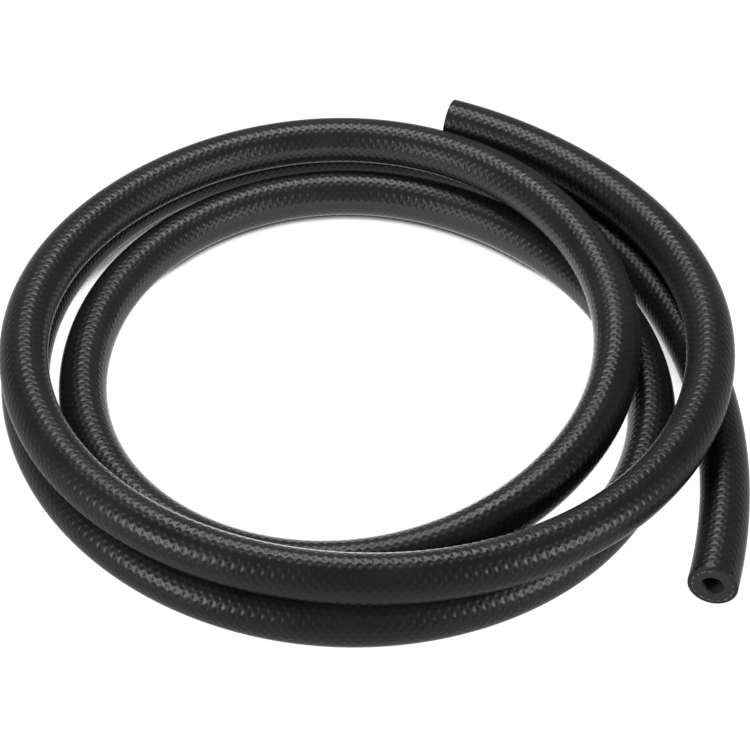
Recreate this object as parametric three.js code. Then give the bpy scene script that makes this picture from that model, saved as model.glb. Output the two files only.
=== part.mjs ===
// Fuel hose: a thick-walled rubber tube with plain cut ends, lying loosely coiled on a level floor.
// Millimetres, +Z up. The origin is on the floor under the middle of the coil's bounding box.

import * as THREE from 'three';

// Hose section
const OUTSIDE_DIAMETER = 11;
const BORE_DIAMETER = 5;
const OUTSIDE_SIDES = 16;
const BORE_SIDES = 8;

// Coil. It runs anticlockwise seen from above, from the free end on the floor at the front right.
const COIL_RADIUS = 71;
const TURN_CLEARANCE = 0.3;
const START_ANGLE = -42;
const END_ANGLE = 1150.5;
const STEP_ANGLE = 8;

// Where the hose lies, at every eighth of a turn from straight in front: how far it strays outward
// from COIL_RADIUS and how high it lies above the floor layer, both in pitches from turn to turn.
const STATION_ANGLE = 45;
const STRAYS = [
  8.5, 2.85, 0.75, 0.4, 0.6, 0.35, 0.1, 0.4,
  1.05, 0.95, -0.2, -0.95, -0.85, -1.05, -1.15, -0.5,
  -0.3, -0.55, -0.7, -0.7, 0.05, -0.3, 0.1, 0.4,
  0.75, 1.3, 1.25, 0.65, 0.75,
];
const LIFTS = [
  0, 0, 0, 0, 0, 0, 0, 0,
  0, 0, 0, 0, 0, 0, 0, 0,
  0, 0.6, 0.9, 1.15, 0.8, 0.9, 1.05, 1,
  1.05, 0.95, 1.05, 0.9, 1.2,
];
const FIRST_STATION_ANGLE = -90;

const PITCH = OUTSIDE_DIAMETER + TURN_CLEARANCE;

// Uniform cubic B-spline through the neighbourhood of a place in a list, so that the hose bends smoothly.
function smoothed(values, place) {
  const whole = Math.floor(place);
  const t = place - whole;
  const weights = [
    (1 - t) ** 3,
    3 * t ** 3 - 6 * t ** 2 + 4,
    -3 * t ** 3 + 3 * t ** 2 + 3 * t + 1,
    t ** 3,
  ];
  const near = (i) => values[THREE.MathUtils.clamp(whole + i - 1, 0, values.length - 1)];
  return weights.reduce((sum, weight, i) => sum + (weight * near(i)) / 6, 0);
}

// The hose's centreline, from the end on the floor to the end on top.
class CoiledCentreline extends THREE.Curve {
  getPoint(t, target = new THREE.Vector3()) {
    const degrees = THREE.MathUtils.lerp(START_ANGLE, END_ANGLE, t);
    const place = (degrees - FIRST_STATION_ANGLE) / STATION_ANGLE;
    const radius = COIL_RADIUS + PITCH * smoothed(STRAYS, place);
    const height = OUTSIDE_DIAMETER / 2 + PITCH * smoothed(LIFTS, place);
    const angle = THREE.MathUtils.degToRad(degrees);
    return target.set(radius * Math.cos(angle), radius * Math.sin(angle), height);
  }
}

// A regular polygon with a corner on +X, which the sweep turns to point straight down.
function circle(diameter, sides) {
  const points = [];
  for (let i = 0; i < sides; i += 1) {
    const angle = (2 * Math.PI * i) / sides;
    points.push(new THREE.Vector2(Math.cos(angle), Math.sin(angle)).multiplyScalar(diameter / 2));
  }
  return points;
}

// The wall of the hose, open right through from one cut end to the other.
function makeFuelHose() {
  const wall = new THREE.Shape(circle(OUTSIDE_DIAMETER, OUTSIDE_SIDES));
  wall.holes.push(new THREE.Path(circle(BORE_DIAMETER, BORE_SIDES)));

  const centreline = new CoiledCentreline();
  const steps = Math.ceil((END_ANGLE - START_ANGLE) / STEP_ANGLE);
  centreline.arcLengthDivisions = 10 * steps;
  const geometry = new THREE.ExtrudeGeometry(wall, { steps, extrudePath: centreline });

  geometry.computeBoundingBox();
  const middle = geometry.boundingBox.getCenter(new THREE.Vector3());
  geometry.translate(-middle.x, -middle.y, 0);

  const rubber = new THREE.MeshStandardMaterial({ color: 0x161617, roughness: 0.5, metalness: 0 });
  const hose = new THREE.Mesh(geometry, rubber);
  hose.name = 'fuel_hose';
  return hose;
}

const model = new THREE.Group();
model.add(makeFuelHose());

export default model;
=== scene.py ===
# The looks of a loosely coiled rubber fuel hose: its skin with the pressed-in braid, its cut ends,
# a white light table and soft studio lights. Metres, in the frame of the solid model.
import math
import random

import bmesh
import bpy
from mathutils import Matrix, Vector


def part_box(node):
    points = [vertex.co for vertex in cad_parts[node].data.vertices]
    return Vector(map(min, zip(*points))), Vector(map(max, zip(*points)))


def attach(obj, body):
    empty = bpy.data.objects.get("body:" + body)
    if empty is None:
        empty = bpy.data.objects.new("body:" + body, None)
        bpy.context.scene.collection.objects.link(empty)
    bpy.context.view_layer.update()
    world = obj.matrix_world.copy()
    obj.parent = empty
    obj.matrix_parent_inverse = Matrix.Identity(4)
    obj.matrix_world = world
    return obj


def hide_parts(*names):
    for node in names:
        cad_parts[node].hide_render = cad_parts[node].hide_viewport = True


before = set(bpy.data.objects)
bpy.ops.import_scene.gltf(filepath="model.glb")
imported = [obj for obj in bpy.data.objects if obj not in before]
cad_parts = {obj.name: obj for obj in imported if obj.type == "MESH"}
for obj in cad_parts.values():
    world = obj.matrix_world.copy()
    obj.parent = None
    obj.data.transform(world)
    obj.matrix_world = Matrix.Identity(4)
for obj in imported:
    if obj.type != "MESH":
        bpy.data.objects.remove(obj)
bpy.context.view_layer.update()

MM = 0.001
UP = Vector((0, 0, 1))

# Hose section
OUTSIDE_DIAMETER = 11 * MM
BORE_DIAMETER = 5 * MM
SKIN_SIDES = 48
RING_SPACING = 2 * MM
OUTER_EDGE = 0.35 * MM
BORE_EDGE = 0.15 * MM
EDGE_SEGMENTS = 3

# Coil, as in the solid model
COIL_RADIUS = 71 * MM
TURN_CLEARANCE = 0.3 * MM
START_ANGLE = -42
END_ANGLE = 1150.5
FIRST_STATION_ANGLE = -90
STATION_ANGLE = 45
STRAYS = [
    8.5, 2.85, 0.75, 0.4, 0.6, 0.35, 0.1, 0.4,
    1.05, 0.95, -0.2, -0.95, -0.85, -1.05, -1.15, -0.5,
    -0.3, -0.55, -0.7, -0.7, 0.05, -0.3, 0.1, 0.4,
    0.75, 1.3, 1.25, 0.65, 0.75,
]
LIFTS = [
    0, 0, 0, 0, 0, 0, 0, 0,
    0, 0, 0, 0, 0, 0, 0, 0,
    0, 0.6, 0.9, 1.15, 0.8, 0.9, 1.05, 1,
    1.05, 0.95, 1.05, 0.9, 1.2,
]
PITCH = OUTSIDE_DIAMETER + TURN_CLEARANCE
ROUTE_STEP_ANGLE = 1

# Pressed-in braid
CROSSINGS_AROUND = 14
BRAID_PITCH = 2.05 * MM
BRAID_DEPTH = 0.095 * MM

# Reinforcement threads, cut off in the wall
THREADS = 15
THREADS_HIDDEN = 0.3
THREAD_CIRCLE = 8.9 * MM
THREAD_LENGTH = 1.4 * MM
THREAD_WIDTH = 0.28 * MM
THREAD_PROUD = 0.08 * MM

# Light table
TABLE_HALF_WIDTH = 4
TABLE_GLOW_RADIUS = 75 * MM
# How far the ambient occlusion looks for the hose when painting shade into the table's gaps
GAP_REACH = 9 * MM
SHEET_SPACING = 0.02 * MM

# Camera, as in the photograph
CAMERA_ELEVATION = 43.1
CAMERA_DISTANCE = 608 * MM
CAMERA_LENS = 124.6
CAMERA_AIM = Vector((7.8 * MM, 0, 0))


# Where the hose lies

def smoothed(values, place):
    """Uniform cubic B-spline through the neighbourhood of a place in a list."""
    whole = math.floor(place)
    t = place - whole
    weights = ((1 - t) ** 3, 3 * t ** 3 - 6 * t ** 2 + 4, -3 * t ** 3 + 3 * t ** 2 + 3 * t + 1, t ** 3)
    near = [values[min(max(whole + i - 1, 0), len(values) - 1)] for i in range(4)]
    return sum(weight * value for weight, value in zip(weights, near)) / 6


def centreline(degrees):
    """The point on the hose's centreline at a turn angle, from the middle of the coil."""
    place = (degrees - FIRST_STATION_ANGLE) / STATION_ANGLE
    radius = COIL_RADIUS + PITCH * smoothed(STRAYS, place)
    height = OUTSIDE_DIAMETER / 2 + PITCH * smoothed(LIFTS, place)
    angle = math.radians(degrees)
    return Vector((radius * math.cos(angle), radius * math.sin(angle), height))


class Route:
    """The centreline as a line of points, which gives the place and the direction at a length along it."""

    def __init__(self):
        count = round((END_ANGLE - START_ANGLE) / ROUTE_STEP_ANGLE)
        self.angles = [START_ANGLE + (END_ANGLE - START_ANGLE) * i / count for i in range(count + 1)]
        self.points = [centreline(angle) for angle in self.angles]
        self.lengths = [0.0]
        for before, after in zip(self.points, self.points[1:]):
            self.lengths.append(self.lengths[-1] + (after - before).length)
        self.length = self.lengths[-1]

    def at(self, length):
        """The centre, the sideways and the upward direction of the section at a length along the hose."""
        low, high = 0, len(self.lengths) - 1
        while high - low > 1:
            middle = (low + high) // 2
            low, high = (middle, high) if self.lengths[middle] <= length else (low, middle)
        share = (length - self.lengths[low]) / (self.lengths[high] - self.lengths[low])
        angle = self.angles[low] + share * (self.angles[high] - self.angles[low])
        along = (centreline(angle + 0.1) - centreline(angle - 0.1)).normalized()
        side = along.cross(UP).normalized()
        return centreline(angle), side, side.cross(along)


route = Route()


# Camera

def add_camera(coil_middle):
    """Looks down at the coil from the front."""
    data = bpy.data.cameras.new("camera")
    data.lens = CAMERA_LENS
    data.sensor_width = 36
    camera = bpy.data.objects.new("camera", data)
    elevation = math.radians(CAMERA_ELEVATION)
    back = Vector((0, -math.cos(elevation), math.sin(elevation)))
    camera.location = coil_middle + CAMERA_AIM + back * CAMERA_DISTANCE
    camera.rotation_mode = "QUATERNION"
    camera.rotation_quaternion = (-back).to_track_quat("-Z", "Y")
    bpy.context.collection.objects.link(camera)
    bpy.context.scene.camera = camera


# Shader arithmetic

class Value:
    """A node socket whose arithmetic adds Math nodes."""

    def __init__(self, graph, socket):
        self.graph = graph
        self.socket = socket

    def math(self, operation, *others):
        inputs = dict(enumerate((self, *others)))
        return self.graph.node("ShaderNodeMath", {"operation": operation}, inputs)

    def __add__(self, other):
        return self.math("ADD", other)

    def __radd__(self, other):
        return self.math("ADD", other)

    def __sub__(self, other):
        return self.math("SUBTRACT", other)

    def __rsub__(self, other):
        return (self * -1).math("ADD", other)

    def __mul__(self, other):
        return self.math("MULTIPLY", other)

    def __rmul__(self, other):
        return self.math("MULTIPLY", other)

    def __pow__(self, other):
        return self.math("POWER", other)

    def __abs__(self):
        return self.math("ABSOLUTE")


class Graph:
    """The nodes of a material, or of the room."""

    def __init__(self, owner):
        owner.use_nodes = True
        self.owner = owner
        self.tree = owner.node_tree
        self.tree.nodes.clear()

    def node(self, kind, settings=None, inputs=None, output=0):
        node = self.tree.nodes.new(kind)
        for key, value in (settings or {}).items():
            setattr(node, key, value)
        for key, value in (inputs or {}).items():
            if isinstance(value, Value):
                self.tree.links.new(value.socket, node.inputs[key])
            else:
                node.inputs[key].default_value = value
        return Value(self, node.outputs[output])

    def uv(self, name):
        return self.node("ShaderNodeUVMap", {"uv_map": name})

    def place(self):
        """Where on the object a point is, in metres."""
        return self.node("ShaderNodeTexCoord", output=3)

    def parts(self, vector):
        """The three numbers of a vector."""
        first = self.node("ShaderNodeSeparateXYZ", None, {0: vector})
        outputs = first.socket.node.outputs
        return [Value(self, outputs[i]) for i in range(3)]

    def noise(self, vector, scale, detail=2.0, roughness=0.5):
        inputs = {"Vector": vector, "Scale": scale, "Detail": detail, "Roughness": roughness}
        return self.node("ShaderNodeTexNoise", None, inputs)

    def between(self, value, low, high, start=0.0, end=1.0):
        """A value brought from one range to another, and kept in it."""
        inputs = {"Value": value, "From Min": low, "From Max": high, "To Min": start, "To Max": end}
        return self.node("ShaderNodeMapRange", {"clamp": True}, inputs)

    def mix(self, share, first, second):
        """Two colours mixed."""
        inputs = {0: share, 6: first, 7: second}
        return self.node("ShaderNodeMix", {"data_type": "RGBA"}, inputs, output=2)

    def bump(self, height, distance, normal=None):
        inputs = {"Height": height, "Distance": distance}
        if normal is not None:
            inputs["Normal"] = normal
        return self.node("ShaderNodeBump", None, inputs)

    def close(self, shader, kind="ShaderNodeOutputMaterial"):
        output = self.tree.nodes.new(kind)
        self.tree.links.new(shader.socket, output.inputs["Surface"])
        return self.owner


# Materials

def new_graph(name):
    """The empty graph of a new material."""
    return Graph(bpy.data.materials.new(name))


def finish(graph, inputs):
    """The material that one principled shader makes of these inputs."""
    return graph.close(graph.node("ShaderNodeBsdfPrincipled", None, inputs))


def grey(level, warmth=0.0):
    """A nearly neutral colour."""
    return (level * (1 + warmth), level, level * (1 - warmth), 1.0)


def skin_rubber():
    """Black moulded rubber that took the pattern of the braid it was cured in."""
    graph = new_graph("skin_rubber")
    place = graph.place()
    around, along, _ = graph.parts(graph.uv("skin"))
    turn = around * CROSSINGS_AROUND
    run = along * (1 / BRAID_PITCH)

    left_hand = (turn + run) * math.pi
    right_hand = (turn - run) * math.pi
    left_ridges = left_hand.math("SINE") ** 2
    right_ridges = right_hand.math("SINE") ** 2
    braid = left_ridges * right_ridges

    wobble = graph.noise(place, 900, 2)
    grain = graph.noise(place, 5200, 2, 0.6)
    patches = graph.noise(place, 60, 3, 0.55)

    height = braid * graph.between(wobble, 0.3, 0.7, 0.8, 1.0)
    pressed = graph.bump(height, BRAID_DEPTH)
    normal = graph.bump(grain, 0.007 * MM, pressed)
    colour = graph.mix(graph.between(patches, 0.35, 0.7), grey(0.011), grey(0.017, 0.01))
    slanted = graph.node("ShaderNodeLayerWeight", None, {"Blend": 0.5}, output=1)
    sheen = graph.between(slanted, 0.68, 0.9, 1.0, 0.25)
    rough = graph.between(patches + (grain - 0.5) * 0.3, 0.3, 0.75, 0.34, 0.42) * sheen
    return finish(graph, {
        "Base Color": colour, "Roughness": rough, "Normal": normal, "IOR": 1.4,
    })


def cut_rubber():
    """The matt face that a blade leaves: tube, outer cover and the line of fibre between them."""
    graph = new_graph("cut_rubber")
    place = graph.place()
    grain = graph.noise(place, 2600, 4, 0.65)
    stroke = graph.noise(place, 420, 2)
    across, up, _ = graph.parts(graph.uv("section"))
    reach = (across * across + up * up).math("SQRT")
    seam = THREAD_CIRCLE / OUTSIDE_DIAMETER
    cover = graph.between(reach, seam - 0.01, seam + 0.02)
    fibre = graph.between(abs(reach - seam), 0.008, 0.022, 1.0, 0.0) * graph.between(stroke, 0.45, 0.6)
    rubber = graph.mix(cover, grey(0.022), grey(0.015))
    speckled = graph.mix(graph.between(grain, 0.4, 0.7) * 0.5, rubber, grey(0.034))
    height = grain * 0.6 + stroke * 0.4 + fibre * 0.5
    return finish(graph, {
        "Base Color": graph.mix(fibre, speckled, grey(0.075, 0.03)),
        "Roughness": graph.between(grain, 0.3, 0.7, 0.62, 0.8),
        "Normal": graph.bump(height, 0.05 * MM),
    })


def bore_rubber():
    """The smooth lining, in a grey lighter than the skin: painted light that stands in for light reaching
    into the bore.
    """
    graph = new_graph("bore_rubber")
    place = graph.place()
    grain = graph.noise(place, 1800, 3)
    # Painted light: the lining's grey is lifted well above the skin's black to stand in for light reaching
    # into the bore.
    colour = graph.mix(graph.between(grain, 0.35, 0.7), grey(0.038), grey(0.05))
    return finish(graph, {
        "Base Color": colour,
        "Roughness": graph.between(grain, 0.3, 0.7, 0.45, 0.6),
        "Normal": graph.bump(grain, 0.02 * MM),
    })


def thread_fibre():
    """The fuzzy pale ends of the cut reinforcement."""
    graph = new_graph("thread_fibre")
    place = graph.place()
    fuzz = graph.noise(place, 9000, 2, 0.7)
    colour = graph.mix(graph.between(fuzz, 0.3, 0.7), grey(0.08, 0.03), grey(0.40, 0.04))
    return finish(graph, {
        "Base Color": colour, "Roughness": graph.between(fuzz, 0.3, 0.7, 0.75, 0.95),
        "Normal": graph.bump(fuzz, 0.04 * MM),
    })


# Hose

def turned_wall(mesh):
    """The straight hose, standing on the origin: a ring of wall turned round its axis, edges rounded."""
    outer = OUTSIDE_DIAMETER / 2
    inner = BORE_DIAMETER / 2
    length = route.length
    rings = math.ceil(length / RING_SPACING)
    bore_rings = rings // 2
    heights = [length * i / rings for i in range(rings + 1)]
    bore_heights = [length * i / bore_rings for i in range(bore_rings + 1)]
    profile = [mesh.verts.new((outer, 0, z)) for z in heights]
    profile += [mesh.verts.new((inner, 0, z)) for z in reversed(bore_heights)]
    edges = [mesh.edges.new(pair) for pair in zip(profile, profile[1:] + profile[:1])]
    bmesh.ops.spin(
        mesh, geom=profile + edges, cent=(0, 0, 0), axis=UP, dvec=(0, 0, 0),
        angle=2 * math.pi, steps=SKIN_SIDES, use_merge=True, use_duplicate=False,
    )
    bmesh.ops.recalc_face_normals(mesh, faces=mesh.faces)
    for radius, width in ((outer, OUTER_EDGE), (inner, BORE_EDGE)):
        round_rims(mesh, radius, width)


def round_rims(mesh, radius, width):
    """Takes the sharpness off both ends' rims at one radius."""
    def on_rim(vert):
        at_end = min(vert.co.z, route.length - vert.co.z) < 1e-7
        return at_end and abs(vert.co.xy.length - radius) < 1e-6
    rims = [edge for edge in mesh.edges if all(on_rim(vert) for vert in edge.verts)]
    bmesh.ops.bevel(
        mesh, geom=rims, offset=width, offset_type="OFFSET", affect="EDGES",
        segments=EDGE_SEGMENTS, profile=0.5, material=-1,
    )


def map_section(mesh):
    """Maps the skin by turns round the hose and metres along it, and the section by outside radii."""
    skin = mesh.loops.layers.uv.new("skin")
    section = mesh.loops.layers.uv.new("section")
    inner_limit = BORE_DIAMETER / 2 + BORE_EDGE * 0.6
    for face in mesh.faces:
        face.smooth = True
        middle = face.calc_center_median()
        centre_turn = math.atan2(middle.y, middle.x) / (2 * math.pi)
        flat_end = abs(face.normal.z) > 0.9
        face.material_index = 1 if flat_end else 2 if middle.xy.length < inner_limit else 0
        for loop in face.loops:
            place = loop.vert.co
            turn = math.atan2(place.y, place.x) / (2 * math.pi)
            turn -= round(turn - centre_turn)
            loop[skin].uv = (turn, place.z)
            loop[section].uv = place.xy * (2 / OUTSIDE_DIAMETER)


def add_threads(mesh, chance):
    """Short ends of cut thread, laid round both end faces and a little proud of them."""
    for end in (0.0, route.length):
        for i in range(THREADS):
            if chance.random() < THREADS_HIDDEN:
                continue
            angle = 2 * math.pi * (i + chance.uniform(-0.35, 0.35)) / THREADS
            reach = THREAD_CIRCLE / 2 + chance.uniform(-0.15, 0.15) * MM
            length = THREAD_LENGTH * chance.uniform(0.25, 1.1)
            width = THREAD_WIDTH * chance.uniform(0.6, 1.2)
            thread = bmesh.ops.create_icosphere(mesh, subdivisions=2, radius=0.5)["verts"]
            bmesh.ops.scale(mesh, verts=thread, vec=(width, length, 2 * THREAD_PROUD))
            bmesh.ops.translate(mesh, verts=thread, vec=(reach, 0, end))
            bmesh.ops.rotate(mesh, verts=thread, cent=(0, 0, 0), matrix=Matrix.Rotation(angle, 3, "Z"))
            for face in {face for vert in thread for face in vert.link_faces}:
                face.material_index = 3
                face.smooth = True


def lay_along_route(mesh):
    """Bends the straight hose into its coil."""
    sections = {}
    for vert in mesh.verts:
        length = min(max(vert.co.z, 0.0), route.length)
        key = round(length, 7)
        if key not in sections:
            sections[key] = route.at(length)
        centre, side, above = sections[key]
        beyond = vert.co.z - length
        along = above.cross(side)
        vert.co = centre + side * vert.co.x + above * vert.co.y + along * beyond


def add_hose():
    """The skin, set over the solid; returns it and how far it was shifted for that."""
    mesh = bmesh.new()
    turned_wall(mesh)
    map_section(mesh)
    add_threads(mesh, random.Random(7))
    lay_along_route(mesh)
    data = bpy.data.meshes.new("fuel_hose_skin")
    for material in (skin_rubber(), cut_rubber(), bore_rubber(), thread_fibre()):
        data.materials.append(material)
    xs = [vert.co.x for vert in mesh.verts]
    ys = [vert.co.y for vert in mesh.verts]
    low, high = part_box("fuel_hose")
    shift_x = (low[0] + high[0] - min(xs) - max(xs)) / 2
    shift_y = (low[1] + high[1] - min(ys) - max(ys)) / 2
    shift = Vector((shift_x, shift_y, 0))
    bmesh.ops.translate(mesh, verts=mesh.verts, vec=shift)
    mesh.to_mesh(data)
    mesh.free()
    hose = bpy.data.objects.new("fuel_hose_skin", data)
    bpy.context.collection.objects.link(hose)
    return hose, shift


# Light table and lamps

def flat_sheet(name, z):
    """A wide level sheet of the stage."""
    mesh = bmesh.new()
    bmesh.ops.create_grid(mesh, x_segments=1, y_segments=1, size=TABLE_HALF_WIDTH)
    bmesh.ops.translate(mesh, verts=mesh.verts, vec=(0, 0, z))
    data = bpy.data.meshes.new(name)
    mesh.to_mesh(data)
    mesh.free()
    sheet = bpy.data.objects.new(name, data)
    bpy.context.collection.objects.link(sheet)
    return sheet


def add_light_table():
    """A white glass table that glows evenly and is seen only by the camera. In the narrow gaps between turns
    its glow is turned down by ambient occlusion from the hose: a painted shade, deeper towards the back.
    """
    table = flat_sheet("light_table", -SHEET_SPACING)
    graph = new_graph("light_table")
    _, y, _ = graph.parts(graph.place())
    # Painted shade: near the hose, ambient occlusion lowers the table's glow almost to black in the narrow
    # gaps between turns. The thresholds rise towards the back, so gaps there turn darker.
    open_share = graph.node("ShaderNodeAmbientOcclusion", {"samples": 16}, {"Distance": GAP_REACH}, output=1)
    back = graph.between(y, 28 * MM, 42 * MM)
    glow = graph.between(open_share, back * 0.16 + 0.04, back * 0.22 + 0.14, 0.04, 1.1)
    table.data.materials.append(graph.close(graph.node("ShaderNodeEmission", None, {"Strength": glow})))
    table.visible_glossy = False
    table.visible_diffuse = False


def add_table_light():
    """The light that the hose gets from the table: strong inside the coil, weak away from it."""
    glass = flat_sheet("table_light", -2 * SHEET_SPACING)
    graph = new_graph("table_light")
    x, y, _ = graph.parts(graph.place())
    reach = (x * x + y * y).math("SQRT")
    glow = graph.between(reach, 0.0, TABLE_GLOW_RADIUS, 1.0, 0.0) ** 1.5 * 3.6 + 0.6
    glass.data.materials.append(graph.close(graph.node("ShaderNodeEmission", None, {"Strength": glow})))
    glass.visible_camera = False


def add_lamp(name, place, aim, width, depth, power):
    """A softbox turned to face a point."""
    data = bpy.data.lights.new(name, "AREA")
    data.shape = "RECTANGLE"
    data.size = width
    data.size_y = depth
    data.energy = power
    lamp = bpy.data.objects.new(name, data)
    lamp.location = place
    lamp.rotation_mode = "QUATERNION"
    lamp.rotation_quaternion = (aim - place).to_track_quat("-Z", "Y")
    bpy.context.collection.objects.link(lamp)


def add_lights():
    middle = Vector((0, 0, 0.01))
    add_lamp("overhead_softbox", Vector((-0.04, 0.21, 0.38)), middle, 0.20, 0.10, 1.02)
    add_lamp("left_softbox", Vector((-0.58, -0.40, 0.28)), middle, 0.18, 0.20, 2.45)
    add_lamp("right_softbox", Vector((0.60, -0.40, 0.28)), middle, 0.16, 0.18, 2.3)


def add_room():
    """Dim all round, with a pale wall behind the table."""
    graph = Graph(bpy.data.worlds.new("room"))
    _, y, z = graph.parts(graph.node("ShaderNodeTexCoord"))
    wall = graph.between(y, 0.0, 0.9, 0.0, 0.25) * graph.between(z, 0.0, 0.7, 1.0, 0.0)
    light = graph.node("ShaderNodeBackground", None, {"Strength": wall + 0.2})
    bpy.context.scene.world = graph.close(light, "ShaderNodeOutputWorld")


hose, coil_middle = add_hose()
add_camera(coil_middle)
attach(hose, "root")
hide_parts("fuel_hose")
add_light_table()
add_table_light()
add_lights()
add_room()
bpy.context.scene.view_settings.view_transform = "Standard"
